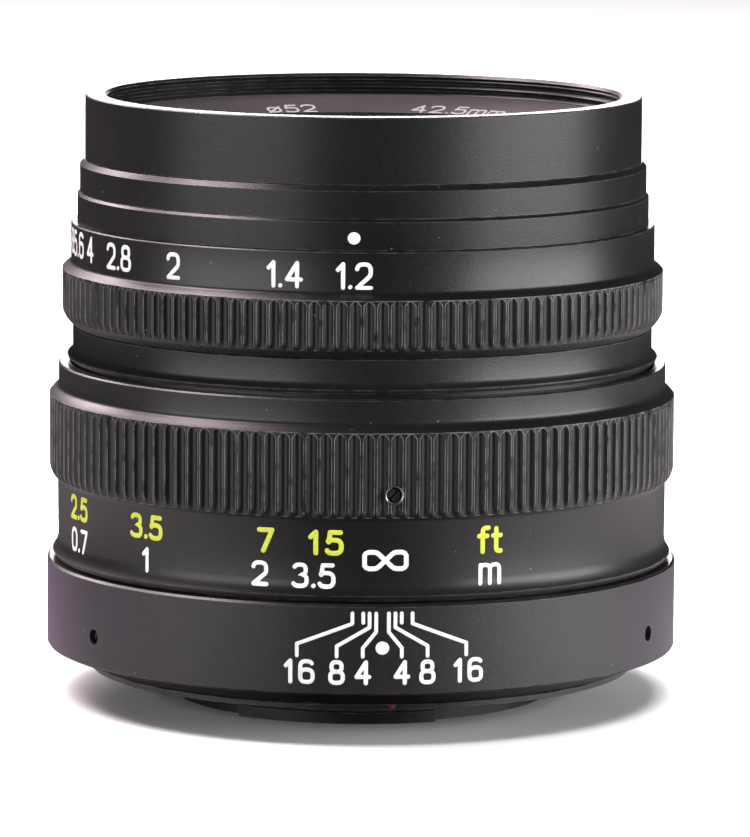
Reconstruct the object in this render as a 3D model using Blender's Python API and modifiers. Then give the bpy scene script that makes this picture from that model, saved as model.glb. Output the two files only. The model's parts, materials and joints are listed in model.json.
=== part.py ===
"""Prime camera lens, standing on its bayonet.

The origin is the centre of the bayonet's rear face, and +Z points out of the front glass.
Sizes are in millimetres and are turned into metres by MM. An azimuth of 0 faces -Y, where
the index marks are, and grows towards +X.
"""

import math

import bmesh
import bpy

MM = 0.001
MERGE = 0.000001
GAP = 0.3

OUTER_SIDES = 36
INNER_SIDES = 24

# Heights, from the rear face up.
FLANGE_REAR = 2.75
FLANGE_TOP = 3.35
BASE_BOTTOM = 3.6
BASE_TOP = 13.7
FOCUS_BOTTOM = BASE_TOP + GAP
FOCUS_TOP = 33.4
LIP_BOTTOM = 33.8
NECK_TOP = 36.95
APERTURE_BOTTOM = 37.25
APERTURE_TOP = 47.4
INDEX_BOTTOM = 47.7
INDEX_TOP = 50.1
TRIM_TOP = 53.15
FILTER_BOTTOM = 53.45
OVERALL = 60.1

# Radii of the outside, from the rear to the front.
TAB_R = 20.0
THROAT_R = 17.4
TUBE_R = 18.9
RELIEF_R = 20.8
FLANGE_R = 27.3
BASE_R = 31.54
FOCUS_GRIP_R = 31.3
FOCUS_SCALE_R = 30.45
NECK_R = 28.98
APERTURE_GRIP_R = 30.03
APERTURE_BAND_R = 29.12
INDEX_R = 28.52
TRIM_R = 28.27
RIM_R = 27.75
FILTER_THREAD_R = 25.6

# Radii of the nested tubes inside.
FOCUS_BORE_R = 29.3
SLEEVE_R = 28.9
SLEEVE_BORE_R = 27.9
FIXED_R = 27.6
FIXED_BORE_R = 26.4
FIXED_TOP = 31.0
FIXED_BOTTOM = 5.6
FOOT_TOP = 7.2
BARREL_R = 26.1
BARREL_BORE_R = 24.8
BARREL_BOTTOM = 13.0
SEAT_R = 27.0
SEAT_BORE_R = 27.3
CELL_R = 24.4

# Motion.
FOCUS_TURN = 118.0
FOCUS_TRAVEL = 4.96
APERTURE_TURN = 86.0

# Bayonet.
TAB_COUNT = 3
TAB_SPAN = 58.0
TAB_MIDDLE = -7.0
TAB_HEIGHT = 1.1
MOUNT_SCREWS = 4
MOUNT_SCREW_CIRCLE_R = 23.4

# Radial screws: azimuth of the first, height, hole radius.
FOCUS_SCREW_AZIMUTH = 5.8
FOCUS_SCREW_Z = 24.3
BASE_SCREW_AZIMUTHS = (-56.0, 64.0, 184.0)
BASE_SCREW_Z = 8.1
SCREW_HOLE_R = 0.85
SCREW_R = 0.6

# Iris.
BLADES = 9
BLADE_PIVOT_R = 20.5
BLADE_INNER_R = 18.0
BLADE_OUTER_R = 22.6
BLADE_SPAN = 78.0
BLADE_THICKNESS = 0.12
BLADE_STEP = 0.27
BLADE_BOTTOM = 37.5
IRIS_OPEN_R = 17.8
IRIS_PLATE_BOTTOM = 36.6
IRIS_PLATE_TOP = 37.2
CAM_BOTTOM = 40.2
CAM_TOP = 40.9
APERTURE_PIN_AZIMUTH = 60.0
APERTURE_PIN_R = 0.6
F_NUMBERS = (1.2, 1.4, 2, 2.8, 4, 5.6, 8, 11, 16)
OPEN_PUPIL_R = 17.7
PUPIL_R_TIMES_F = 21.25
DEGREES_PER_PUPIL_MM = 5.25

CLICK_AZIMUTH = 150.0
CLICK_R = 27.45
BALL_R = 0.55


def clear_scene():
    for old in list(bpy.data.objects):
        bpy.data.objects.remove(old, do_unlink=True)


def new_collection(name):
    made = bpy.data.collections.new(name)
    bpy.context.scene.collection.children.link(made)
    return made


def material(name, colour, roughness, metallic, transmission=0.0):
    made = bpy.data.materials.new(name)
    made.use_nodes = True
    shader = made.node_tree.nodes["Principled BSDF"]
    shader.inputs["Base Color"].default_value = (*colour, 1.0)
    shader.inputs["Roughness"].default_value = roughness
    shader.inputs["Metallic"].default_value = metallic
    shader.inputs["Transmission Weight"].default_value = transmission
    made.diffuse_color = (*colour, 1.0)
    return made


def anodised(name):
    return material(name, (0.035, 0.035, 0.037), 0.42, 0.6)


def blackened(name):
    return material(name, (0.02, 0.02, 0.021), 0.6, 0.3)


def steel(name):
    return material(name, (0.45, 0.45, 0.46), 0.35, 1.0)


def brass(name):
    return material(name, (0.55, 0.42, 0.2), 0.35, 1.0)


def bare_aluminium(name):
    return material(name, (0.5, 0.5, 0.5), 0.4, 1.0)


def glass(name):
    return material(name, (0.92, 0.95, 0.96), 0.02, 0.0, 1.0)


def place(made, look, collection):
    for user in list(made.users_collection):
        user.objects.unlink(made)
    collection.objects.link(made)
    if look:
        made.data.materials.clear()
        made.data.materials.append(look)
    return made


def turned(name, profile, look, collection, sides=OUTER_SIDES, closed=True):
    """A profile of (radius, height) points, run down its outer side, turned about Z."""
    mesh = bpy.data.meshes.new(name)
    points = [(r * MM, 0.0, z * MM) for r, z in profile]
    edges = [(i, i + 1) for i in range(len(points) - 1)]
    if closed:
        edges.append((len(points) - 1, 0))
    mesh.from_pydata(points, edges, [])
    made = bpy.data.objects.new(name, mesh)
    screw = made.modifiers.new("turn", "SCREW")
    screw.axis = "Z"
    screw.steps = sides
    screw.render_steps = sides
    screw.use_merge_vertices = True
    screw.merge_threshold = MERGE
    screw.use_smooth_shade = True
    return place(made, look, collection)


def tube(name, outer, inner, top, bottom, look, collection, sides=INNER_SIDES):
    profile = [(outer, top), (outer, bottom), (inner, bottom), (inner, top)]
    return turned(name, profile, look, collection, sides)


def direction(azimuth):
    a = math.radians(azimuth)
    return math.sin(a), -math.cos(a)


def spot(azimuth, radius, height):
    x, y = direction(azimuth)
    return x * radius * MM, y * radius * MM, height * MM


def radial_pin(name, azimuth, height, r_in, r_out, radius, look, collection, sides=10):
    bpy.ops.mesh.primitive_cylinder_add(
        vertices=sides,
        radius=radius * MM,
        depth=(r_out - r_in) * MM,
        location=spot(azimuth, (r_in + r_out) / 2, height),
        rotation=(math.pi / 2, 0, math.radians(azimuth)),
    )
    made = bpy.context.object
    made.name = name
    return place(made, look, collection)


def upright_pin(name, azimuth, at_r, bottom, top, radius, look, collection, sides=10):
    bpy.ops.mesh.primitive_cylinder_add(
        vertices=sides,
        radius=radius * MM,
        depth=(top - bottom) * MM,
        location=spot(azimuth, at_r, (bottom + top) / 2),
        rotation=(0, 0, math.radians(azimuth)),
    )
    made = bpy.context.object
    made.name = name
    return place(made, look, collection)


def block(name, azimuth, at_r, height, size, look, collection, roll=0.0):
    """A box whose size is (across, along the radius, up), rolled about the radius."""
    bpy.ops.mesh.primitive_cube_add(size=1.0, location=spot(azimuth, at_r, height))
    made = bpy.context.object
    made.name = name
    made.scale = [side * MM for side in size]
    made.rotation_euler = (0, math.radians(roll), math.radians(azimuth))
    return place(made, look, collection)


def cutter(made):
    made.hide_render = True
    made.display_type = "WIRE"
    return made


def combine(target, tool, operation):
    step = target.modifiers.new(tool.name, "BOOLEAN")
    step.operation = operation
    step.solver = "EXACT"
    step.object = tool


def cut(target, tool):
    combine(target, cutter(tool), "DIFFERENCE")


def join(target, tool):
    combine(target, cutter(tool), "UNION")


def flat_curve(name, outline, thickness):
    """A closed outline of (x, y) points in millimetres, filled and extruded about its plane."""
    data = bpy.data.curves.new(name, "CURVE")
    data.dimensions = "2D"
    data.fill_mode = "BOTH"
    data.extrude = thickness / 2 * MM
    spline = data.splines.new("POLY")
    spline.points.add(len(outline) - 1)
    for point, (x, y) in zip(spline.points, outline):
        point.co = (x * MM, y * MM, 0.0, 1.0)
    spline.use_cyclic_u = True
    return data


def arc(radius, start, end, steps):
    """(x, y) points on a circle about Z, between two azimuths."""
    found = []
    for i in range(steps + 1):
        x, y = direction(start + (end - start) * i / steps)
        found.append((x * radius, y * radius))
    return found


def sector(name, r_in, r_out, start, end, bottom, top, collection, steps=12):
    """A closed mesh for a part of a ring between two azimuths."""
    outline = arc(r_in, start, end, steps) + arc(r_out, end, start, steps)
    data = flat_curve(name, outline, top - bottom)
    drawn = bpy.data.objects.new(name + "_outline", data)
    collection.objects.link(drawn)
    evaluated = drawn.evaluated_get(bpy.context.evaluated_depsgraph_get())
    mesh = bpy.data.meshes.new_from_object(evaluated)
    bpy.data.objects.remove(drawn, do_unlink=True)
    work = bmesh.new()
    work.from_mesh(mesh)
    bmesh.ops.remove_doubles(work, verts=work.verts, dist=MERGE)
    bmesh.ops.recalc_face_normals(work, faces=work.faces)
    work.to_mesh(mesh)
    work.free()
    made = bpy.data.objects.new(name, mesh)
    made.location.z = (bottom + top) / 2 * MM
    collection.objects.link(made)
    return made


def slot_head(screw, azimuth, head_r, height, cutters, roll=45.0):
    """A driver slot across the outer end of a radial screw."""
    tool = block(screw.name + "_slot", azimuth, head_r, height, (0.24, 0.7, 3.0), None, cutters, roll)
    cut(screw, tool)


def bayonet(parts, cutters):
    """Flange with a spigot, rear tube, and tabs that leave a slot under the flange."""
    profile = [
        (26.5, 5.0),
        (26.5, FLANGE_TOP),
        (FLANGE_R, FLANGE_TOP),
        (FLANGE_R, FLANGE_REAR),
        (RELIEF_R, FLANGE_REAR),
        (RELIEF_R, FLANGE_REAR + 0.2),
        (TUBE_R, FLANGE_REAR + 0.2),
        (TUBE_R, 0.0),
        (THROAT_R, 0.0),
        (THROAT_R, 3.9),
        (18.3, 3.9),
        (18.3, 5.0),
    ]
    mount = turned("bayonet_mount", profile, anodised("bayonet_black"), parts)
    for i in range(TAB_COUNT):
        middle = TAB_MIDDLE + i * 360 / TAB_COUNT
        start, end = middle - TAB_SPAN / 2, middle + TAB_SPAN / 2
        tab = sector(f"tab_{i + 1}", 18.2, TAB_R, start, end, 0.0, TAB_HEIGHT, cutters, 5)
        join(mount, tab)
    for i in range(MOUNT_SCREWS):
        azimuth = 45 + i * 360 / MOUNT_SCREWS
        r = MOUNT_SCREW_CIRCLE_R
        hole = upright_pin(f"mount_hole_{i + 1}", azimuth, r, 2, 6, 0.95, None, cutters)
        recess = upright_pin(f"mount_recess_{i + 1}", azimuth, r, 2, 4.2, 1.45, None, cutters)
        cut(mount, hole)
        cut(mount, recess)


def mount_screws(parts, cutters):
    look = steel("mount_screw_steel")
    for i in range(MOUNT_SCREWS):
        azimuth = 45 + i * 360 / MOUNT_SCREWS
        r = MOUNT_SCREW_CIRCLE_R
        name = f"mount_screw_{i + 1}"
        shank = upright_pin(name, azimuth, r, 3.6, 7.0, 0.65, look, parts)
        head = upright_pin(name + "_head", azimuth, r, 3.0, 3.9, 1.15, None, cutters)
        join(shank, head)
        for turn in (0, 90):
            x, y, _ = spot(azimuth, r, 0)
            bpy.ops.mesh.primitive_cube_add(size=1.0, location=(x, y, 3.0 * MM))
            bar = bpy.context.object
            bar.name = f"{name}_cross_{turn}"
            bar.scale = (1.5 * MM, 0.3 * MM, 0.8 * MM)
            bar.rotation_euler.z = math.radians(azimuth + turn)
            cut(shank, place(bar, None, cutters))


def base_ring(parts, cutters):
    """Fixed outer ring that carries the depth-of-field scale."""
    profile = [
        (BASE_R - 0.25, BASE_TOP),
        (BASE_R, BASE_TOP - 0.25),
        (BASE_R, 5.0),
        (27.9, BASE_BOTTOM),
        (26.8, BASE_BOTTOM),
        (26.8, FIXED_BOTTOM - GAP),
        (FIXED_R + GAP, FIXED_BOTTOM - GAP),
        (FIXED_R + GAP, 9.6),
        (FOCUS_BORE_R, 9.6),
        (FOCUS_BORE_R, BASE_TOP),
    ]
    ring = turned("base_ring", profile, anodised("base_ring_black"), parts)
    look = blackened("base_screw_black")
    for i, azimuth in enumerate(BASE_SCREW_AZIMUTHS):
        hole = radial_pin(f"base_hole_{i + 1}", azimuth, BASE_SCREW_Z, 26, 33, SCREW_HOLE_R, None, cutters)
        cut(ring, hole)
        name = f"base_screw_{i + 1}"
        screw = radial_pin(name, azimuth, BASE_SCREW_Z, FIXED_R + GAP, 31.0, SCREW_R, look, parts)
        slot_head(screw, azimuth, 31.0, BASE_SCREW_Z, cutters)


def rear_baffle(parts):
    profile = [(18.0, 5.3), (18.0, 4.2), (13.2, 4.2), (14.2, 5.3)]
    turned("rear_baffle", profile, blackened("baffle_black"), parts, INNER_SIDES)


def fixed_barrel(parts, cutters):
    """Fixed tube under the focus ring: the optics slide inside it, the focus sleeve turns on it."""
    profile = [
        (FIXED_R, FIXED_TOP),
        (FIXED_R, FIXED_BOTTOM),
        (THROAT_R, FIXED_BOTTOM),
        (THROAT_R, FOOT_TOP),
        (FIXED_BORE_R, FOOT_TOP),
        (FIXED_BORE_R, FIXED_TOP),
    ]
    look = bare_aluminium("fixed_barrel_grey")
    barrel = turned("fixed_barrel", profile, look, parts, INNER_SIDES)
    for i in range(MOUNT_SCREWS):
        azimuth = 45 + i * 360 / MOUNT_SCREWS
        hole = upright_pin(f"foot_hole_{i + 1}", azimuth, MOUNT_SCREW_CIRCLE_R, 5, 8, 0.95, None, cutters)
        cut(barrel, hole)
    for i, azimuth in enumerate((90.0, 270.0)):
        tool = block(f"key_seat_{i + 1}", azimuth, 27.0, 26.0, (2.8, 4.0, 4.8), None, cutters)
        cut(barrel, tool)
        key = (2.2, 2.2, 4.2)
        block(f"guide_key_{i + 1}", azimuth, 26.2, 26.0, key, steel("guide_key_steel"), parts)
    hole = radial_pin("stop_hole", 0.0, 17.0, 25.5, 28.5, 1.1, None, cutters)
    cut(barrel, hole)
    radial_pin("focus_stop_pin", 0.0, 17.0, 26.6, 28.7, 0.8, steel("stop_pin_steel"), parts)


def focus_group(parts, cutters):
    """Focus ring with its collar, grip and scale, the sleeve it drives, and their screws."""
    profile = [
        (30.2, FOCUS_TOP),
        (30.39, FOCUS_TOP - 0.2),
        (30.39, 31.9),
        (30.45, 31.2),
        (30.62, 30.8),
        (FOCUS_GRIP_R, 30.15),
        (FOCUS_GRIP_R, 22.8),
        (FOCUS_SCALE_R + 0.1, 21.7),
        (FOCUS_SCALE_R, 15.6),
        (30.6, 15.0),
        (30.95, 14.6),
        (30.95, 14.3),
        (30.7, FOCUS_BOTTOM),
        (FOCUS_BORE_R, FOCUS_BOTTOM),
        (FOCUS_BORE_R, FOCUS_TOP),
    ]
    ring = turned("focus_ring", profile, anodised("focus_ring_black"), parts)
    look = brass("sleeve_brass")
    sleeve = tube("focus_sleeve", SLEEVE_R, SLEEVE_BORE_R, 26.5, 15.0, look, parts)
    margin = 3.5
    slot = sector("stop_slot", 27.0, 30.0, -FOCUS_TURN - margin, margin, 15.7, 18.3, cutters, 10)
    cut(sleeve, slot)
    look = blackened("focus_screw_black")
    for i in range(3):
        azimuth = FOCUS_SCREW_AZIMUTH + 120 * i
        hole = radial_pin(f"focus_hole_{i + 1}", azimuth, FOCUS_SCREW_Z, 26, 33, SCREW_HOLE_R, None, cutters)
        cut(ring, hole)
        cut(sleeve, hole)
        name = f"focus_screw_{i + 1}"
        screw = radial_pin(name, azimuth, FOCUS_SCREW_Z, 28.0, 30.8, SCREW_R, look, parts)
        slot_head(screw, azimuth, 30.8, FOCUS_SCREW_Z, cutters)


def lens_barrel(parts, cutters):
    """Tube that carries the optics, with keyways, and a seat for the aperture ring."""
    profile = [
        (BARREL_R, TRIM_TOP),
        (BARREL_R, INDEX_BOTTOM),
        (SEAT_R, APERTURE_TOP),
        (SEAT_R, APERTURE_BOTTOM),
        (BARREL_R, APERTURE_BOTTOM),
        (BARREL_R, BARREL_BOTTOM),
        (BARREL_BORE_R, BARREL_BOTTOM),
        (BARREL_BORE_R, TRIM_TOP),
    ]
    barrel = turned("lens_barrel", profile, blackened("lens_barrel_black"), parts, INNER_SIDES)
    for i, azimuth in enumerate((90.0, 270.0)):
        low = 26.0 - 2.1 - FOCUS_TRAVEL - 0.5
        high = 26.0 + 2.1 + 0.5
        size = (2.8, 4.0, high - low)
        cut(barrel, block(f"keyway_{i + 1}", azimuth, 25.5, (low + high) / 2, size, None, cutters))
    start = APERTURE_PIN_AZIMUTH - 2.5
    end = APERTURE_PIN_AZIMUTH + APERTURE_TURN + 2.5
    cut(barrel, sector("aperture_slot", 23.8, 28.2, start, end, 39.6, 41.5, cutters, 8))


def neck_sleeve(parts):
    """Waist between the two grips; its skirt slides inside the focus ring."""
    profile = [
        (NECK_R, NECK_TOP),
        (NECK_R, 35.2),
        (29.1, 34.7),
        (29.4, 34.3),
        (29.55, 34.1),
        (29.4, LIP_BOTTOM),
        (NECK_R - 0.05, LIP_BOTTOM),
        (NECK_R - 0.05, 27.5),
        (FIXED_R + 0.4, 27.5),
        (FIXED_R + 0.4, 34.5),
        (BARREL_R + GAP, 34.5),
        (BARREL_R + GAP, NECK_TOP),
    ]
    turned("neck_sleeve", profile, anodised("neck_black"), parts)


def f_number_azimuth(number):
    """Where a number sits round from the widest stop, for an even opening of the iris."""
    pupil_r = PUPIL_R_TIMES_F / number
    return -DEGREES_PER_PUPIL_MM * (OPEN_PUPIL_R - pupil_r)


def aperture_group(parts, cutters):
    """Aperture ring with click dimples, the pin through the barrel, and the iris cam ring."""
    profile = [
        (APERTURE_BAND_R - 0.1, APERTURE_TOP),
        (APERTURE_BAND_R, APERTURE_TOP - 0.1),
        (APERTURE_BAND_R + 0.05, 43.2),
        (APERTURE_GRIP_R, 42.5),
        (APERTURE_GRIP_R, 38.4),
        (29.7, 37.8),
        (28.94, APERTURE_BOTTOM),
        (SEAT_BORE_R, APERTURE_BOTTOM),
        (SEAT_BORE_R, APERTURE_TOP),
    ]
    ring = turned("aperture_ring", profile, anodised("aperture_ring_black"), parts)
    for i, number in enumerate(F_NUMBERS):
        azimuth = CLICK_AZIMUTH + f_number_azimuth(number)
        dimple = upright_pin(f"click_dimple_{i + 1}", azimuth, 27.9, 47.15, 48.0, 0.4, None, cutters, 6)
        cut(ring, dimple)
    cam = tube("iris_cam_ring", CELL_R, IRIS_OPEN_R, CAM_TOP, CAM_BOTTOM, blackened("cam_black"), parts)
    for i in range(BLADES):
        azimuth = 20 + i * 360 / BLADES
        slot = block(f"cam_slot_{i + 1}", azimuth, 20.9, 40.5, (0.9, 3.6, 3.0), None, cutters)
        cut(cam, slot)
    notch = block("cam_notch", APERTURE_PIN_AZIMUTH, 24.5, 40.5, (1.8, 1.8, 3.0), None, cutters)
    cut(cam, notch)
    look = steel("aperture_pin_steel")
    radial_pin("aperture_pin", APERTURE_PIN_AZIMUTH, 40.55, 24.0, 27.1, APERTURE_PIN_R, look, parts)


def round_end(azimuth, start):
    """Points round a blade's end, without the two where it meets the blade's edges."""
    half_width = (BLADE_OUTER_R - BLADE_INNER_R) / 2
    middle_r = (BLADE_OUTER_R + BLADE_INNER_R) / 2
    x, y = direction(azimuth)
    found = []
    for step in (45, 90, 135):
        dx, dy = direction(start + step)
        found.append((x * middle_r + dx * half_width, y * middle_r + dy * half_width))
    return found


def blade_outline():
    """A crescent seen from the front, from its own pivot, with round ends."""
    pivot_x, pivot_y = direction(0)
    outline = arc(BLADE_INNER_R, BLADE_SPAN, 0, 8)
    outline += round_end(0, 180)
    outline += arc(BLADE_OUTER_R, 0, BLADE_SPAN, 8)
    outline += round_end(BLADE_SPAN, BLADE_SPAN)
    return [(x - pivot_x * BLADE_PIVOT_R, y - pivot_y * BLADE_PIVOT_R) for x, y in outline]


def iris(parts):
    """Housing plate and nine thin blades, stacked one above the other."""
    profile = [
        (CELL_R, 38.4),
        (CELL_R, IRIS_PLATE_BOTTOM),
        (IRIS_OPEN_R, IRIS_PLATE_BOTTOM),
        (IRIS_OPEN_R, IRIS_PLATE_TOP),
        (CELL_R - 0.8, IRIS_PLATE_TOP),
        (CELL_R - 0.8, 38.4),
    ]
    turned("iris_housing", profile, blackened("iris_housing_black"), parts, INNER_SIDES)
    data = flat_curve("iris_blade", blade_outline(), BLADE_THICKNESS)
    data.materials.append(blackened("iris_blade_black"))
    for i in range(BLADES):
        azimuth = i * 360 / BLADES
        blade = bpy.data.objects.new(f"iris_blade_{i + 1}", data)
        blade.location = spot(azimuth, BLADE_PIVOT_R, BLADE_BOTTOM + BLADE_STEP * i)
        blade.rotation_euler.z = math.radians(azimuth)
        parts.objects.link(blade)


def front_rings(parts, cutters):
    """Index ring, trim ring, filter ring and name ring, with the click ball and its spring."""
    bore = BARREL_R + GAP
    look = anodised("index_black")
    index = tube("index_ring", INDEX_R, bore, INDEX_TOP, INDEX_BOTTOM, look, parts, OUTER_SIDES)
    pocket = upright_pin("click_pocket", CLICK_AZIMUTH, CLICK_R, 47.0, 49.7, 0.75, None, cutters)
    cut(index, pocket)
    look = anodised("trim_black")
    tube("trim_ring", TRIM_R, bore, TRIM_TOP, INDEX_TOP + GAP, look, parts, OUTER_SIDES)
    profile = [
        (RIM_R - 0.12, OVERALL),
        (RIM_R, OVERALL - 0.12),
        (RIM_R, FILTER_BOTTOM),
        (23.8, FILTER_BOTTOM),
        (23.8, 56.0),
        (FILTER_THREAD_R, 56.0),
        (FILTER_THREAD_R, OVERALL - 0.3),
        (FILTER_THREAD_R + 0.3, OVERALL),
    ]
    turned("filter_ring", profile, anodised("filter_ring_black"), parts)
    profile = [(25.3, 57.9), (25.3, 56.9), (21.6, 55.6), (21.2, 56.4)]
    turned("name_ring", profile, blackened("name_ring_black"), parts, INNER_SIDES)
    bpy.ops.mesh.primitive_ico_sphere_add(
        subdivisions=2, radius=BALL_R * MM, location=spot(CLICK_AZIMUTH, CLICK_R, 48.05)
    )
    ball = bpy.context.object
    ball.name = "click_ball"
    place(ball, steel("click_ball_steel"), parts)
    spring = coil("click_spring", 0.38, 48.8, 49.5, 2.5, 0.09)
    spring.location = spot(CLICK_AZIMUTH, CLICK_R, 0)
    place(spring, steel("click_spring_steel"), parts)


def coil(name, radius, bottom, top, turns, wire_r):
    """A wire coil about its own Z axis."""
    data = bpy.data.curves.new(name, "CURVE")
    data.dimensions = "3D"
    data.bevel_depth = wire_r * MM
    data.bevel_resolution = 1
    data.use_fill_caps = True
    spline = data.splines.new("POLY")
    count = int(turns * 8)
    spline.points.add(count)
    for i, point in enumerate(spline.points):
        a = math.tau * turns * i / count
        z = bottom + (top - bottom) * i / count
        point.co = (radius * math.cos(a) * MM, radius * math.sin(a) * MM, z * MM, 1.0)
    return bpy.data.objects.new(name, data)


def dome(radius, rim_z, sag, steps):
    """Points of a shallow spherical face, from the axis out to the rim."""
    if abs(sag) < 0.01:
        return [(0.0, rim_z), (radius, rim_z)]
    curve_r = (radius * radius + sag * sag) / (2 * abs(sag))
    side = math.copysign(1.0, sag)
    found = []
    for i in range(steps + 1):
        r = radius * i / steps
        drop = curve_r - math.sqrt(curve_r * curve_r - r * r)
        found.append((r, rim_z + sag - side * drop))
    return found


def lens_element(number, radius, top, bottom, sag_top, sag_bottom, parts, sides, steps):
    """A lens: rim from top to bottom, each face domed by its sag (up is positive)."""
    front = dome(radius, top, sag_top, steps)
    rear = dome(radius, bottom, sag_bottom, steps)
    profile = front + rear[::-1]
    name = f"lens_element_{number}"
    turned(name, profile, glass(name + "_glass"), parts, sides, closed=False)


def optics(parts):
    """Cells, spacers, retaining rings and seven elements, from front to rear."""
    lens_element(1, 20.7, 52.9, 51.8, 4.3, 1.6, parts, INNER_SIDES, 4)
    lens_element(2, 18.9, 48.3, 45.6, 1.2, 1.5, parts, INNER_SIDES, 3)
    lens_element(3, 16.9, 44.3, 42.2, 0.0, 1.8, parts, INNER_SIDES, 3)
    lens_element(4, 16.1, 35.9, 34.3, -1.9, 0.0, parts, INNER_SIDES, 3)
    lens_element(5, 15.7, 33.2, 29.0, 0.0, -1.9, parts, INNER_SIDES, 3)
    lens_element(6, 15.7, 25.2, 22.6, 1.6, -0.6, parts, INNER_SIDES, 3)
    lens_element(7, 15.7, 20.0, 17.6, 0.8, -1.4, parts, INNER_SIDES, 3)
    profile = [
        (23.4, 55.0),
        (23.4, 53.1),
        (CELL_R, 53.1),
        (CELL_R, 41.2),
        (16.0, 41.2),
        (16.0, 41.9),
        (17.2, 41.9),
        (17.2, 44.9),
        (19.2, 44.9),
        (19.2, 51.5),
        (21.0, 51.5),
        (21.0, 53.2),
        (22.6, 53.2),
        (22.6, 55.0),
    ]
    turned("front_cell", profile, blackened("front_cell_black"), parts, INNER_SIDES)
    tube("spacer_front_1", 18.9, 17.9, 51.2, 48.6, blackened("spacer_front_1_black"), parts)
    tube("spacer_front_2", 16.9, 16.1, 45.25, 44.6, blackened("spacer_front_2_black"), parts)
    profile = [(22.3, 54.9), (22.3, 53.5), (20.0, 53.5), (20.0, 54.1), (21.0, 54.9)]
    turned("front_retainer", profile, blackened("front_retainer_black"), parts, INNER_SIDES)
    profile = [
        (CELL_R, 36.3),
        (CELL_R, 33.0),
        (19.0, 33.0),
        (19.0, 14.8),
        (16.0, 14.8),
        (16.0, 33.5),
        (14.9, 33.5),
        (14.9, 34.0),
        (16.4, 34.0),
        (16.4, 36.3),
    ]
    turned("rear_cell", profile, blackened("rear_cell_black"), parts, INNER_SIDES)
    tube("spacer_rear_1", 15.7, 14.7, 28.7, 25.5, blackened("spacer_rear_1_black"), parts)
    tube("spacer_rear_2", 15.7, 14.7, 22.3, 20.3, blackened("spacer_rear_2_black"), parts)
    profile = [(15.7, 17.3), (15.7, 15.2), (14.9, 15.2), (14.0, 17.3)]
    turned("rear_retainer", profile, blackened("rear_retainer_black"), parts, INNER_SIDES)


def build():
    clear_scene()
    parts = new_collection("prime_camera_lens")
    cutters = new_collection("cutters")
    bayonet(parts, cutters)
    mount_screws(parts, cutters)
    base_ring(parts, cutters)
    rear_baffle(parts)
    fixed_barrel(parts, cutters)
    focus_group(parts, cutters)
    lens_barrel(parts, cutters)
    neck_sleeve(parts)
    aperture_group(parts, cutters)
    iris(parts)
    front_rings(parts, cutters)
    optics(parts)


build()
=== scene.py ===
"""Looks for a prime camera lens that stands on its bayonet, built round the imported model.

Lengths are in millimetres and are turned into metres by MM. Heights are from the rear face
up. An azimuth of 0 faces -Y, where the index marks are, and grows towards +X.
"""

import json
import math

import bmesh
import bpy
from mathutils import Matrix


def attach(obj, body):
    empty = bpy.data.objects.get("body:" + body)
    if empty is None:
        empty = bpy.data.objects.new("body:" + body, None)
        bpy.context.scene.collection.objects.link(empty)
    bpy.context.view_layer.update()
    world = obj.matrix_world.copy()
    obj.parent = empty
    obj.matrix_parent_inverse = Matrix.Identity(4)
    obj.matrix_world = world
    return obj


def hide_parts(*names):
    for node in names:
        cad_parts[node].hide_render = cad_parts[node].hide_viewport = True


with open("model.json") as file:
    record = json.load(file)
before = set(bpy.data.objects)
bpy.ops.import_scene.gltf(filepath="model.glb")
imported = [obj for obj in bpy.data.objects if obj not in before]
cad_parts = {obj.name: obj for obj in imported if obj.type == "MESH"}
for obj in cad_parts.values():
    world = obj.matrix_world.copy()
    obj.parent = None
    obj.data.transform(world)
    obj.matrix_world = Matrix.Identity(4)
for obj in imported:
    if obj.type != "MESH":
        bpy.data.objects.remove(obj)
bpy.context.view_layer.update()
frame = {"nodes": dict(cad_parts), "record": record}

MM = 0.001
MERGE = 0.000001
SIDES = 216
FINE_SIDES = 288
GLASS_SIDES = 96
SMALL_SIDES = 48
SMOOTH_ANGLE = math.radians(30)
MARK_SMOOTH_ANGLE = math.radians(60)

# Heights of the rings, and the gap that shows between two of them.
SEAM = 0.06
FLANGE_REAR = 2.75
FLANGE_TOP = 3.35
BASE_BOTTOM = 3.6
BASE_TOP = 13.75
FOCUS_BOTTOM = 14.0
FOCUS_TOP = 33.4
LIP_BOTTOM = 33.8
NECK_TOP = 37.05
APERTURE_BOTTOM = 37.25
APERTURE_TOP = 47.4
INDEX_TOP = 50.4
TRIM_TOP = 53.6
OVERALL = 60.1

# Radii of the outside.
TAB_R = 20.0
TUBE_R = 18.9
THROAT_R = 17.4
FLANGE_R = 27.3
BASE_R = 31.54
FOCUS_GRIP_R = 31.3
FOCUS_SCALE_R = 30.45
NECK_R = 28.98
APERTURE_GRIP_R = 30.03
APERTURE_BAND_R = 29.14
APERTURE_BAND_FOOT_R = APERTURE_BAND_R + 0.02
INDEX_R = 28.52
TRIM_R = 28.27
RIM_R = 27.75
THREAD_MINOR_R = 25.6
THREAD_MAJOR_R = 26.0
THREAD_BOTTOM = 57.95
THREAD_PITCH = 0.75

# Grip teeth: columns of the mesh from one land to the next, and how deep each lies.
TEETH = 144
TOOTH_DEPTHS = (0.0, 0.0, 0.45, 0.79, 0.95, 1.0, 0.95, 0.79, 0.45, 0.0)
GRIP_SIDES = TEETH * len(TOOTH_DEPTHS)
APERTURE_TOOTH = 0.36
FOCUS_TOOTH = 0.42

# Radial screws and the holes over them.
FOCUS_SCREW_AZIMUTHS = (5.8, 125.8, 245.8)
FOCUS_SCREW_Z = 24.3
FOCUS_HOLE_R = 0.74
BASE_SCREW_AZIMUTHS = (-56.0, 64.0, 184.0)
BASE_SCREW_Z = 8.1
BASE_HOLE_R = 0.78
HOLE_TOOL_TOP_R = 33.0

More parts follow.
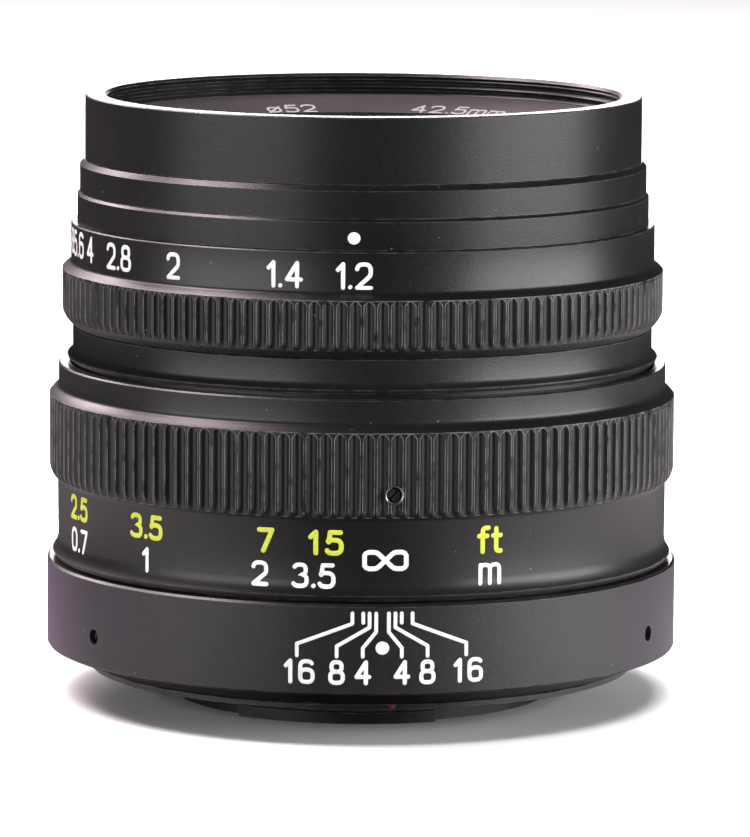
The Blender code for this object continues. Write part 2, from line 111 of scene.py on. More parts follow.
# Bayonet.
TAB_MIDDLES = (-7.0, 113.0, 233.0)
TAB_SPAN = 58.0
TAB_HEIGHT = 1.1
MOUNT_DOT_AZIMUTH = 6.5

# Inner and outer edge of the sloping face of the name ring, as (radius, height).
NAME_RING_INNER = (21.3, 56.5)
NAME_RING_OUTER = (25.35, 57.93)

# Scales, with azimuths in degrees.
F_NUMBERS = (1.2, 1.4, 2, 2.8, 4, 5.6, 8, 16)
DOT_F_NUMBER = 11
OPEN_PUPIL_R = 17.7
DEGREES_PER_PUPIL_MM = 5.25
APERTURE_INDEX_AZIMUTH = -1.7
INFINITY_AZIMUTH = 4.4
METRE_MARKS = {"3.5": -8.6, "2": -18.6, "1": -43.4, "0.7": -66.0, "0.5": -88.0}
FOOT_MARKS = {"15": -6.4, "7": -17.5, "3.5": -43.3, "2.5": -66.2, "1.6": -97.0}
UNIT_AZIMUTH = 24.0
DEPTH_SCALE_AZIMUTH = 3.8
DEPTH_TICKS = {4: 1.1, 8: 2.25, 11: 3.35, 16: 5.25}
DEPTH_NUMBERS = {4: 3.4, 8: 7.95, 16: 14.95}
NAME_RING_TEXTS = {"far_left": ("o52", 200.0), "far_right": ("42.5mm", 153.0), "near": ("1:1.2", 0.0)}

# Strokes and letters. A gap is a share of the letter height.
STROKE = 0.41
YELLOW_STROKE = 0.47
DEPTH_STROKE = 0.36
NAME_RING_STROKE = 0.28
HALF_DOT_STROKE = 0.01
LONGEST_STRAIGHT = 0.4
SAME_POINT = 0.000001
CAP_LEANS = (30, 52, 70, 84)
LETTER_GAP = 0.24
AFTER_ONE = 0.22
LETTER_SQUARENESS = 0.72
SWELL = 0.3
PROUD = 0.02

# Kinds of text: letter height, height of the middle, widening and stroke width.
F_TEXT = (2.25, 45.1, 1.0, STROKE)
FOOT_TEXT = (2.02, 19.57, 1.15, YELLOW_STROKE)
FOOT_UNIT_TEXT = (2.3, 19.55, 1.0, YELLOW_STROKE)
METRE_TEXT = (2.05, 16.35, 1.1, STROKE)
METRE_UNIT_TEXT = (2.5, 16.6, 1.0, STROKE)
INFINITY_TEXT = (1.6, 17.9, 1.0, YELLOW_STROKE)
DEPTH_TEXT = (2.02, 7.2, 1.0, STROKE)
ROW_RISE = 0.0001

# Colours that several finishes share, and grains to the metre.
SPECK_COLOUR = (0.55, 0.52, 0.53, 1)
# Lightened edges: rubbed wear, and where the amount is large, as on the grips, also a painted edge
# highlight.
RUBBED_AND_HIGHLIGHT_COLOUR = (0.42, 0.4, 0.41, 1)
SHEEN_TINT = (0.75, 0.35, 0.8, 1)
BLASTED_GRAIN = 4500.0
MACHINED_GRAIN = 2600.0
PAINT_GRAIN = 3000.0
PAINT_ROUGHNESS = 0.55

# Slots of the record.
BLACK_SLOT = "black_anodised_aluminium"
MATT_SLOT = "matt_black_metal"

# Lights: azimuth, elevation, distance, width, height (in metres), power and colour.
LIGHTS = {
    "left_softbox": (-51, 3, 0.8, 0.84, 0.6, 5.3, (1, 0.99, 0.99)),
    "right_softbox": (71, 3, 0.8, 0.86, 0.6, 12.1, (1, 0.99, 0.99)),
    "overhead_floor_light": (180, 80, 1.0, 1.0, 1.0, 26.0, (1, 1, 1)),
    "front_fill_on_marks": (0, 50, 1.0, 0.8, 0.7, 12.5, (1, 1, 1)),
    "back_panel": (180, 9, 0.9, 0.22, 0.22, 1.7, (1, 0.97, 0.98)),
    "rear_left_glow": (-141, 31, 0.9, 0.3, 0.22, 3.2, (1, 0.83, 0.87)),
    "high_left_glow": (-108, 57, 0.9, 0.34, 0.3, 6.4, (1, 0.83, 0.87)),
}
GLOWS = ("rear_left_glow", "high_left_glow")
GLOW_SHADED = ("neck_sleeve_black",)
MARK_PIECES = (
    "aperture_numbers",
    "aperture_index_dot",
    "foot_numbers",
    "metre_numbers",
    "depth_scale_marks",
    "name_ring_text_far_left",
    "name_ring_text_far_right",
    "name_ring_text_near",
    "name_ring_black",
)


# --- picking and editing -----------------------------------------------------------------


def select_only(piece):
    bpy.ops.object.select_all(action="DESELECT")
    piece.select_set(True)
    bpy.context.view_layer.objects.active = piece


def edit(piece):
    select_only(piece)
    bpy.ops.object.mode_set(mode="EDIT")
    return bmesh.from_edit_mesh(piece.data)


def leave():
    bpy.ops.object.mode_set(mode="OBJECT")


def azimuth_of(point):
    return math.degrees(math.atan2(point.x, -point.y))


def on_circle(azimuth, radius, height):
    a = math.radians(azimuth)
    return math.sin(a) * radius * MM, -math.cos(a) * radius * MM, height * MM


def finish_mesh(piece, angle=SMOOTH_ANGLE):
    select_only(piece)
    bpy.ops.object.transform_apply(location=True, rotation=True, scale=True)
    bpy.ops.object.shade_smooth_by_angle(angle=angle)


def set_material(piece, *looks):
    piece.data.materials.clear()
    for look in looks:
        piece.data.materials.append(look)


# --- turned rings ------------------------------------------------------------------------


def tooth_depth(azimuth):
    column = round(azimuth / 360 * GRIP_SIDES)
    return TOOTH_DEPTHS[column % len(TOOTH_DEPTHS)]


def lay_teeth(piece, radius, height, depth, rise):
    """Puts the selected loop on its radius, sunk and raised at the middle of each groove."""
    mesh = bmesh.from_edit_mesh(piece.data)
    for vert in mesh.verts:
        if vert.select:
            azimuth = azimuth_of(vert.co)
            share = tooth_depth(azimuth)
            vert.co = on_circle(azimuth, radius - depth * share, height + rise * share)
    bmesh.update_edit_mesh(piece.data)


def turned(name, profile, look, sides=SIDES, closed=True):
    """A profile of (radius, height) points, run down the outer side, drawn out loop by loop.

    A point may also give (depth, rise) of the grooves of a grip.
    """
    bpy.ops.object.select_all(action="DESELECT")
    radius, height = profile[0][:2]
    bpy.ops.mesh.primitive_circle_add(
        vertices=sides, radius=radius * MM, location=(0, 0, height * MM)
    )
    piece = bpy.context.object
    piece.name = name
    bpy.ops.object.transform_apply(location=True)
    edit(piece)
    bpy.ops.mesh.select_all(action="SELECT")
    path = profile[1:] + (profile[:1] if closed else [])
    toothed = False
    for point in path:
        step = (point[1] - height) * MM
        bpy.ops.mesh.extrude_region_move(TRANSFORM_OT_translate={"value": (0, 0, step)})
        if len(point) > 2 or toothed:
            depth, rise = point[2:] or (0.0, 0.0)
            lay_teeth(piece, point[0], point[1], depth, rise)
            toothed = len(point) > 2
        elif point[0] != radius:
            grow = point[0] / radius
            bpy.ops.transform.resize(value=(grow, grow, 1), center_override=(0, 0, 0))
        radius, height = point[:2]
    bpy.ops.mesh.select_all(action="SELECT")
    bpy.ops.mesh.remove_doubles(threshold=MERGE)
    bpy.ops.mesh.normals_make_consistent(inside=False)
    leave()
    set_material(piece, look)
    finish_mesh(piece)
    return piece


def stand_radially(piece, azimuth, height):
    """Lays a piece turned about Z along a radius instead, at that azimuth and height."""
    piece.rotation_euler = (math.pi / 2, 0, math.radians(azimuth))
    piece.location.z = height * MM
    finish_mesh(piece)


def cut_hole(piece, azimuth, height, floor_r, hole_r):
    """A round hole along the radius, matt black inside, that goes in as far as floor_r."""
    bpy.ops.object.select_all(action="DESELECT")
    bpy.ops.mesh.primitive_cylinder_add(
        vertices=SMALL_SIDES,
        radius=hole_r * MM,
        depth=(HOLE_TOOL_TOP_R - floor_r) * MM,
        location=on_circle(azimuth, (floor_r + HOLE_TOOL_TOP_R) / 2, height),
        rotation=(-math.pi / 2, 0, math.radians(azimuth)),
    )
    tool = bpy.context.object
    set_material(tool, MATT_BLACK)
    if MATT_BLACK.name not in [held.name for held in piece.data.materials]:
        piece.data.materials.append(MATT_BLACK)
    select_only(piece)
    step = piece.modifiers.new("hole", "BOOLEAN")
    step.object = tool
    step.solver = "EXACT"
    step.material_mode = "TRANSFER"
    bpy.ops.object.modifier_apply(modifier="hole")
    bpy.data.objects.remove(tool, do_unlink=True)


def dome(radius, rim_z, sag, steps=14):
    """Points of a shallow spherical face from just off the axis out to the rim."""
    near_axis = MERGE / MM / 4
    if sag == 0.0:
        return [(near_axis, rim_z), (radius, rim_z)]
    curve_r = (radius * radius + sag * sag) / (2 * abs(sag))
    side = math.copysign(1.0, sag)
    found = [(near_axis, rim_z + sag)]
    for i in range(1, steps + 1):
        r = radius * i / steps
        drop = curve_r - math.sqrt(curve_r * curve_r - r * r)
        found.append((r, rim_z + sag - side * drop))
    return found


# --- engraved and filled marks -----------------------------------------------------------


def squared(value):
    """Pushes a sine or cosine outwards, which makes a round letter a little squarer."""
    return math.copysign(abs(value) ** LETTER_SQUARENESS, value)


def curve_of(middle_x, middle_y, rx, ry, start, end, steps=10):
    found = []
    for i in range(steps + 1):
        a = math.radians(start + (end - start) * i / steps)
        found.append((middle_x + rx * squared(math.cos(a)), middle_y + ry * squared(math.sin(a))))
    return found


def figure_eight(middle_x, middle_y, half_width, half_height):
    """Two squarish loops joined by a cross."""
    upper = [(0.0, 0.0), (0.3, 0.72), (0.42, 0.94), (0.56, 1.0), (0.8, 1.0), (0.93, 0.86), (1.0, 0.6)]
    right = upper + [(x, -y) for x, y in upper[:0:-1]]
    left = [(-x, y) for x, y in right]
    whole = right + left + right[:1]
    return [(middle_x + x * half_width, middle_y + y * half_height) for x, y in whole]


# The width and the strokes of each glyph, in letter heights.
GLYPHS = {
    "0": (0.58, [curve_of(0.29, 0.5, 0.29, 0.5, 90, 450, 20)]),
    "1": (0.26, [[(0.02, 0.76), (0.24, 1.0)], [(0.24, 1.0), (0.24, 0.0)]]),
    "2": (
        0.6,
        [curve_of(0.3, 0.7, 0.29, 0.3, 168, -38, 14) + [(0.02, 0.0)], [(0.02, 0.0), (0.6, 0.0)]],
    ),
    "3": (
        0.58,
        [
            curve_of(0.28, 0.76, 0.25, 0.24, 155, -90, 12)
            + curve_of(0.27, 0.27, 0.3, 0.27, 80, -150, 12),
        ],
    ),
    "4": (0.62, [[(0.46, 0.0), (0.46, 1.0)], [(0.46, 1.0), (0.02, 0.3)], [(0.02, 0.3), (0.62, 0.3)]]),
    "5": (
        0.58,
        [
            [(0.54, 1.0), (0.12, 1.0)],
            [(0.12, 1.0), (0.06, 0.54)],
            curve_of(0.27, 0.32, 0.31, 0.32, 132, -150, 14),
        ],
    ),
    "6": (
        0.6,
        [
            curve_of(0.3, 0.3, 0.3, 0.3, 90, 450, 18),
            curve_of(0.3, 0.7, 0.3, 0.3, 35, 180, 8) + [(0.0, 0.3)],
        ],
    ),
    "7": (0.56, [[(0.0, 1.0), (0.56, 1.0)], [(0.56, 1.0), (0.18, 0.0)]]),
    "8": (
        0.6,
        [curve_of(0.3, 0.77, 0.24, 0.23, 90, 450, 16), curve_of(0.3, 0.27, 0.3, 0.27, 90, 450, 18)],
    ),
    ".": (0.08, [[(0.04, 0.02), (0.05, 0.03)]]),
    ":": (0.08, [[(0.04, 0.1), (0.05, 0.11)], [(0.04, 0.62), (0.05, 0.63)]]),
    "m": (
        0.8,
        [
            [(0.0, 0.0), (0.0, 0.7)],
            curve_of(0.2, 0.48, 0.2, 0.22, 180, 0, 8) + [(0.4, 0.0)],
            curve_of(0.6, 0.48, 0.2, 0.22, 180, 0, 8) + [(0.8, 0.0)],
        ],
    ),
    "f": (
        0.4,
        [curve_of(0.36, 0.82, 0.2, 0.18, 80, 180, 6) + [(0.16, 0.0)], [(0.0, 0.66), (0.36, 0.66)]],
    ),
    "t": (
        0.36,
        [
            [(0.14, 0.95), (0.14, 0.16)] + curve_of(0.3, 0.16, 0.16, 0.16, 190, 280, 6),
            [(0.0, 0.66), (0.34, 0.66)],
        ],
    ),
    "o": (0.66, [curve_of(0.33, 0.4, 0.3, 0.34, 90, 450, 18), [(0.02, 0.0), (0.64, 0.8)]]),
    "infinity": (2.5, [figure_eight(1.25, 0.5, 1.25, 0.5)]),
}


def lettering(text, height, widen):
    """Strokes in millimetres for a short text, centred on its own middle."""
    letters = [text] if text in GLYPHS else list(text)
    strokes, x = [], 0.0
    for letter, following in zip(letters, letters[1:] + [""]):
        width, lines = GLYPHS[letter]
        strokes += [[(x + px, py - 0.5) for px, py in line] for line in lines]
        x += width + LETTER_GAP
        if letter == "1" and following.isdigit():
            x += AFTER_ONE
    middle = (x - LETTER_GAP) / 2
    return [[((px - middle) * height * widen, py * height) for px, py in line] for line in strokes]


def shifted(strokes, dx, dy):
    return [[(x + dx, y + dy) for x, y in line] for line in strokes]


def dot(diameter, azimuth, radius, height):
    """A round mark on a ring, as one very short stroke of its own width."""
    x = math.radians(azimuth) * radius
    return [[(x - HALF_DOT_STROKE, height), (x + HALF_DOT_STROKE, height)]], diameter


def round_ended(line, half_width):
    """A stroke's points with the share of its width at each, and whether it closes on itself."""
    if math.dist(line[0], line[-1]) < SAME_POINT:
        return [(point, 1.0) for point in line[:-1]], True
    start = round_cap(line[0], line[1], half_width)
    end = round_cap(line[-1], line[-2], half_width)
    return start[::-1] + [(point, 1.0) for point in line] + end, False


def round_cap(end, towards, half_width):
    """Points past a stroke's end, away from its next point, that taper it to a round."""
    length = math.dist(end, towards)
    out_x, out_y = (end[0] - towards[0]) / length, (end[1] - towards[1]) / length
    caps = []
    for lean in CAP_LEANS:
        reach = half_width * math.sin(math.radians(lean))
        caps.append(((end[0] + out_x * reach, end[1] + out_y * reach), math.cos(math.radians(lean))))
    return caps


def finely(line):
    """The same stroke with its long straights cut up, so that it follows a turned surface."""
    found = [line[0]]
    for (x0, y0), (x1, y1) in zip(line, line[1:]):
        pieces = max(1, math.ceil(abs(x1 - x0) / LONGEST_STRAIGHT))
        for i in range(1, pieces + 1):
            found.append((x0 + (x1 - x0) * i / pieces, y0 + (y1 - y0) * i / pieces))
    return found


def stroke_tubes(name, groups, look):
    """Strokes as tubes on the XY plane, with millimetres for units, from (strokes, width) pairs."""
    data = bpy.data.curves.new(name, "CURVE")
    data.dimensions = "3D"
    data.bevel_depth = 1.0
    data.bevel_resolution = 1
    data.use_fill_caps = True
    for strokes, width in groups:
        for line in strokes:
            points, ring = round_ended(finely(line), width / 2)
            spline = data.splines.new("POLY")
            spline.points.add(len(points) - 1)
            for made, ((x, y), taper) in zip(spline.points, points):
                made.co = (x, y, 0.0, 1.0)
                made.radius = taper * width / 2
            spline.use_cyclic_u = ring
    piece = bpy.data.objects.new(name, data)
    bpy.context.scene.collection.objects.link(piece)
    select_only(piece)
    bpy.ops.object.convert(target="MESH")
    piece = bpy.context.object
    set_material(piece, look)
    return piece


def flattened(depth):
    """How far a tube's wall stands out of, or lies in, the surface that it marks."""
    return math.copysign(min(abs(depth) * SWELL, PROUD), depth)


def marks(name, groups, radius_at, look):
    """Filled strokes laid on a turned surface. Their pairs measure round it from azimuth 0, and
    up it from the rear face."""
    piece = stroke_tubes(name, groups, look)
    for vert in piece.data.vertices:
        x, height, depth = vert.co
        radius = radius_at(height)
        vert.co = on_circle(math.degrees(x / radius), radius + flattened(depth), height)
    finish_mesh(piece, MARK_SMOOTH_ANGLE)
    return piece


# --- node groups and materials -----------------------------------------------------------


def new_group(name, inputs, outputs):
    tree = bpy.data.node_groups.new(name, "ShaderNodeTree")
    for label, value in inputs:
        kind = "NodeSocketColor" if isinstance(value, tuple) else "NodeSocketFloat"
        socket = tree.interface.new_socket(name=label, in_out="INPUT", socket_type=kind)
        socket.default_value = value
    for label, kind in outputs:
        tree.interface.new_socket(name=label, in_out="OUTPUT", socket_type=kind)
    return tree, tree.nodes.new("NodeGroupInput"), tree.nodes.new("NodeGroupOutput")


def feed(tree, value, socket):
    """Sets a socket to a constant, or links it to another socket."""
    if isinstance(value, (int, float, tuple)):
        socket.default_value = value
    else:
        tree.links.new(value, socket)


def math_node(tree, operation, first, second=0.0):
    made = tree.nodes.new("ShaderNodeMath")
    made.operation = operation
    for socket, value in zip(made.inputs, (first, second)):
        feed(tree, value, socket)
    return made.outputs[0]


def product(tree, first, *others):
    for value in others:
        first = math_node(tree, "MULTIPLY", first, value)
    return first


def object_place(tree):
    return tree.nodes.new("ShaderNodeTexCoord").outputs["Object"]


def noise(tree, scale, detail):
    made = tree.nodes.new("ShaderNodeTexNoise")
    made.inputs["Detail"].default_value = detail
    tree.links.new(object_place(tree), made.inputs["Vector"])
    feed(tree, scale, made.inputs["Scale"])
    return made.outputs["Fac"]


def ramp(tree, value, low, high, to_low=0.0, to_high=1.0):
    made = tree.nodes.new("ShaderNodeMapRange")
    made.clamp = True
    tree.links.new(value, made.inputs["Value"])
    ends = {"From Min": low, "From Max": high, "To Min": to_low, "To Max": to_high}
    for label, number in ends.items():
        made.inputs[label].default_value = number
    return made.outputs["Result"]


def mix_colour(tree, factor, first, second):
    made = tree.nodes.new("ShaderNodeMix")
    made.data_type = "RGBA"
    tree.links.new(factor, made.inputs["Factor"])
    ends = [socket for socket in made.inputs if socket.type == "RGBA"]
    for socket, value in zip(ends, (first, second)):
        feed(tree, value, socket)
    return next(socket for socket in made.outputs if socket.type == "RGBA")


def grain_group():
    """Fine blasted grain: a height, and a value that wavers round a half."""
    results = [("Height", "NodeSocketFloat"), ("Waver", "NodeSocketFloat")]
    tree, given, out = new_group("blasted_grain", [("Scale", BLASTED_GRAIN)], results)
    fine = noise(tree, given.outputs["Scale"], 3.0)
    broad = noise(tree, 55.0, 4.0)
    tree.links.new(fine, out.inputs["Height"])
    waver = math_node(tree, "ADD", product(tree, fine, 0.5), product(tree, broad, 0.5))
    tree.links.new(waver, out.inputs["Waver"])
    return tree


def dust_group():
    """Small pale specks, thinly and unevenly scattered."""
    wanted = [("Scale", 1100.0), ("Size", 0.11)]
    tree, given, out = new_group("dust_specks", wanted, [("Mask", "NodeSocketFloat")])
    cells = tree.nodes.new("ShaderNodeTexVoronoi")
    tree.links.new(object_place(tree), cells.inputs["Vector"])
    tree.links.new(given.outputs["Scale"], cells.inputs["Scale"])
    pick = tree.nodes.new("ShaderNodeSeparateColor")
    tree.links.new(cells.outputs["Color"], pick.inputs["Color"])
    chosen = ramp(tree, pick.outputs["Red"], 0.9, 1.0)
    size = product(tree, chosen, given.outputs["Size"])
    inside = math_node(tree, "LESS_THAN", cells.outputs["Distance"], size)
    tree.links.new(inside, out.inputs["Mask"])
    return tree


def wear_and_highlight_group():
    """Where a sharp outer edge is rubbed, broken up by noise; with a large amount it is also a painted
    edge highlight.
    """
    wanted = [("Width", 0.00012), ("Amount", 1.0)]
    tree, given, out = new_group("edge_wear_and_highlight", wanted, [("Mask", "NodeSocketFloat")])
    rounded = tree.nodes.new("ShaderNodeBevel")
    rounded.samples = 6
    tree.links.new(given.outputs["Width"], rounded.inputs["Radius"])
    facing = tree.nodes.new("ShaderNodeNewGeometry")
    turn = tree.nodes.new("ShaderNodeVectorMath")
    turn.operation = "DOT_PRODUCT"
    tree.links.new(rounded.outputs["Normal"], turn.inputs[0])
    tree.links.new(facing.outputs["Normal"], turn.inputs[1])
    edge = ramp(tree, turn.outputs["Value"], 0.995, 0.93)
    broken = ramp(tree, noise(tree, 700.0, 4.0), 0.35, 0.65)
    tree.links.new(product(tree, edge, broken, given.outputs["Amount"]), out.inputs["Mask"])
    return tree


GRAIN = grain_group()
DUST = dust_group()
WEAR_AND_HIGHLIGHT = wear_and_highlight_group()


def use_group(tree, group, **values):
    made = tree.nodes.new("ShaderNodeGroup")
    made.node_tree = group
    for label, value in values.items():
        made.inputs[label].default_value = value
    return made


def shader_of(name):
    look = bpy.data.materials.new(name)
    look.use_nodes = True
    return look, look.node_tree, look.node_tree.nodes["Principled BSDF"]


def mottled(tree, grit, low, high, first, second):
    """A tone that follows the grain from one colour to another."""
    return mix_colour(tree, ramp(tree, grit.outputs["Waver"], low, high), (*first, 1), (*second, 1))


def uneven_roughness(tree, shader, grit, middle, spread=0.05):
    uneven = ramp(tree, grit.outputs["Waver"], 0.3, 0.7, middle - spread, middle + spread)
    tree.links.new(uneven, shader.inputs["Roughness"])


def coated_metal(name, colour, roughness, dust=1.0, wear_and_highlight=0.5, grain=0.4, sheen=0.0):
    """Dark anodised or blackened metal with grain, a few specks and lightened edges: rubbed wear, and
    with a large amount also painted highlights.
    """
    look, tree, shader = shader_of(name)
    grit = use_group(tree, GRAIN, Scale=BLASTED_GRAIN)
    specks = use_group(tree, DUST)
    rubbed_and_highlight = use_group(tree, WEAR_AND_HIGHLIGHT, Amount=wear_and_highlight)
    lighter = tuple(c * 1.9 + 0.004 for c in colour)
    tone = mottled(tree, grit, 0.35, 0.65, colour, lighter)
    tone = mix_colour(tree, product(tree, specks.outputs["Mask"], dust * 0.35), tone, SPECK_COLOUR)
    tone = mix_colour(tree, rubbed_and_highlight.outputs["Mask"], tone, RUBBED_AND_HIGHLIGHT_COLOUR)
    tree.links.new(tone, shader.inputs["Base Color"])
    uneven_roughness(tree, shader, grit, roughness)
    shader.inputs["Specular Tint"].default_value = (1.0, 0.985, 0.985, 1)
    if sheen:
        shader.inputs["Sheen Weight"].default_value = sheen
        shader.inputs["Sheen Roughness"].default_value = 0.35
        shader.inputs["Sheen Tint"].default_value = SHEEN_TINT
    bump = tree.nodes.new("ShaderNodeBump")
    bump.inputs["Strength"].default_value = grain
    bump.inputs["Distance"].default_value = 0.00002
    tree.links.new(grit.outputs["Height"], bump.inputs["Height"])
    tree.links.new(bump.outputs["Normal"], shader.inputs["Normal"])
    return look


def bare_metal(name, colour, roughness):
    """Machined metal, slightly uneven."""
    look, tree, shader = shader_of(name)
    grit = use_group(tree, GRAIN, Scale=MACHINED_GRAIN)
    darker = tuple(c * 0.82 for c in colour)
    tree.links.new(mottled(tree, grit, 0.3, 0.7, darker, colour), shader.inputs["Base Color"])
    uneven_roughness(tree, shader, grit, roughness, 0.06)
    shader.inputs["Metallic"].default_value = 1.0
    return look


def filled_paint(name, colour):
    """Paint that fills an engraved line, a little uneven."""
    look, tree, shader = shader_of(name)
    grit = use_group(tree, GRAIN, Scale=PAINT_GRAIN)
    darker = tuple(c * 0.86 for c in colour)
    tree.links.new(mottled(tree, grit, 0.4, 0.6, darker, colour), shader.inputs["Base Color"])
    uneven_roughness(tree, shader, grit, PAINT_ROUGHNESS)
    return look


def coated_glass(name, film):
    """Clear optical glass with a thin coating, and a trace of dust."""
    look, tree, shader = shader_of(name)
    specks = use_group(tree, DUST, Scale=500.0, Size=0.05)
    tree.links.new(ramp(tree, specks.outputs["Mask"], 0.0, 1.0, 0.01, 0.2), shader.inputs["Roughness"])
    tone = mix_colour(tree, specks.outputs["Mask"], (0.97, 0.985, 0.98, 1), (0.85, 0.86, 0.86, 1))
    tree.links.new(tone, shader.inputs["Base Color"])
    shader.inputs["Transmission Weight"].default_value = 1.0
    shader.inputs["IOR"].default_value = 1.6
    shader.inputs["Thin Film Thickness"].default_value = film
    shader.inputs["Thin Film IOR"].default_value = 1.38
    return look


ANODISED = coated_metal("satin_black_anodising", (0.0085, 0.0085, 0.0085), 0.36, grain=0.55, sheen=0.01)
# Grip teeth: the strong edge lightening is partly rubbed wear and partly painted highlights on the land
# edges.
GRIP_PAINTED_HIGHLIGHT_ANODISED = coated_metal("grip_anodising_painted_highlights", (0.0075, 0.008, 0.0075), 0.38, wear_and_highlight=2.3, grain=0.5)
# The base ring's wall: a lighter copy of the same black anodising, with a stronger purple sheen. The
# extra lightness is painted light that stands in for the floor's reflection on this ring.
BASE_PAINTED_LIGHT_ANODISED = coated_metal("base_ring_anodising_painted_lighter", (0.016, 0.0155, 0.0185), 0.38, grain=0.55, sheen=0.2)
# The black name ring gets a lighter pinkish tone, which is a painted reflection of pink light.
NAME_RING_PAINTED_PINK = coated_metal("name_ring_painted_pink_reflection", (0.03, 0.024, 0.028), 0.5, dust=0.3, wear_and_highlight=0.0)
MATT_BLACK = coated_metal("matt_inner_black", (0.008, 0.008, 0.0085), 0.62, dust=0.2, wear_and_highlight=0.0)
SCREW_BLACK = coated_metal("blackened_screw_steel", (0.02, 0.02, 0.021), 0.35, dust=0.2, wear_and_highlight=0.3)
RUBBED_EDGE = bare_metal("countersink_edge", (0.36, 0.36, 0.355), 0.32)
STEEL = bare_metal("bare_steel_finish", (0.5, 0.5, 0.51), 0.3)
BRASS = bare_metal("machined_brass_finish", (0.55, 0.42, 0.2), 0.32)
ALUMINIUM = bare_metal("machined_aluminium_finish", (0.55, 0.55, 0.56), 0.36)
WHITE_PAINT = filled_paint("white_engraving_fill", (0.86, 0.86, 0.84))
DULL_PAINT = filled_paint("name_ring_fill", (0.42, 0.37, 0.38))
YELLOW_PAINT = filled_paint("yellow_green_engraving_fill", (0.62, 0.68, 0.06))
RED_PAINT = filled_paint("dark_red_index_fill", (0.2, 0.015, 0.02))
FRONT_GLASS = coated_glass("front_glass_coating", 420.0)
INNER_GLASS = coated_glass("inner_glass_coating", 340.0)


def give(piece, body, slot, *nodes):
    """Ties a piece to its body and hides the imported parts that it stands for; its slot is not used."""
    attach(piece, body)
    if nodes:
        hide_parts(*nodes)



# --- outer rings -------------------------------------------------------------------------


def build_bayonet():
    """Flange and rear tube with its three tabs, and the index dot on the flange's edge."""
    profile = [
        (26.5, 5.0),
        (26.5, FLANGE_TOP),
        (FLANGE_R - 0.08, FLANGE_TOP),
        (FLANGE_R, FLANGE_TOP - 0.08),
        (FLANGE_R, FLANGE_REAR + 0.08),
        (FLANGE_R - 0.08, FLANGE_REAR),
        (20.8, FLANGE_REAR),
        (20.8, FLANGE_REAR + 0.2),
        (TUBE_R, FLANGE_REAR + 0.2),
        (TUBE_R, TAB_HEIGHT),
        (TUBE_R, 0.0),
        (THROAT_R + 0.2, 0.0),
        (THROAT_R, 0.2),
        (THROAT_R, 3.9),
        (18.3, 3.9),
        (18.3, 5.0),
    ]
    mount = turned("bayonet_mount_black", profile, ANODISED)
    mesh = edit(mount)
    bpy.ops.mesh.select_all(action="DESELECT")
    bpy.ops.mesh.select_mode(type="FACE")
    for face in mesh.faces:
        middle = face.calc_center_median()
        radius = math.hypot(middle.x, middle.y)
        on_tube = abs(radius - TUBE_R * MM) < 0.1 * MM and middle.z < TAB_HEIGHT * MM
        if on_tube and abs(face.normal.z) < 0.5:
            azimuth = azimuth_of(middle)
            turn = min(abs((azimuth - at + 180) % 360 - 180) for at in TAB_MIDDLES)
            face.select_set(turn < TAB_SPAN / 2)
    bmesh.update_edit_mesh(mount.data)
    bpy.ops.mesh.extrude_region_move()
    grow = TAB_R / TUBE_R
    bpy.ops.transform.resize(value=(grow, grow, 1), center_override=(0, 0, 0))
    bpy.ops.mesh.select_mode(type="VERT")
    leave()
    finish_mesh(mount)
    give(mount, "mount_barrel", BLACK_SLOT, "bayonet_mount")
    index = dot(0.55, MOUNT_DOT_AZIMUTH, FLANGE_R, (FLANGE_REAR + FLANGE_TOP) / 2)
    dot_mark = marks("mount_index_dot", [index], lambda z: FLANGE_R, RED_PAINT)
    give(dot_mark, "mount_barrel", BLACK_SLOT)


def coat_band(ring, look, bottom, top, inner_r):
    """Gives the faces between two heights, outside inner_r, a finish of their own."""
    ring.data.materials.append(look)
    slot = len(ring.data.materials) - 1
    for face in ring.data.polygons:
        outside = math.hypot(face.center.x, face.center.y) > inner_r * MM
        if outside and bottom * MM < face.center.z < top * MM:
            face.material_index = slot


def build_base_ring():
    profile = [
        (BASE_R - 0.22, BASE_TOP),
        (BASE_R, BASE_TOP - 0.2),
        (BASE_R, 5.15),
        (BASE_R - 0.1, 4.98),
        (28.0, BASE_BOTTOM + 0.04),
        (27.9, BASE_BOTTOM),
        (26.8, BASE_BOTTOM),
        (26.8, 5.3),
        (27.9, 5.3),
        (27.9, 9.6),
        (29.3, 9.6),
        (29.3, BASE_TOP),
    ]
    ring = turned("base_ring_black", profile, ANODISED, FINE_SIDES)
    # Painted light: the wall gets the lighter copy of the anodising.
    coat_band(ring, BASE_PAINTED_LIGHT_ANODISED, 5.2, BASE_TOP - 0.3, BASE_R - 0.2)
    for azimuth in BASE_SCREW_AZIMUTHS:
        cut_hole(ring, azimuth, BASE_SCREW_Z, 30.4, BASE_HOLE_R)
    finish_mesh(ring)
    give(ring, "mount_barrel", BLACK_SLOT, "base_ring")


def focus_scale_radius(height):
    """Radius of the focus ring's scale, down to where it flares."""
    flare = [(15.0, 30.66), (15.55, 30.5), (16.0, FOCUS_SCALE_R), (21.55, FOCUS_SCALE_R + 0.04)]
    for (z0, r0), (z1, r1) in zip(flare, flare[1:]):
        if height <= z1:
            return r0 + (r1 - r0) * (height - z0) / (z1 - z0)
    return flare[-1][1]


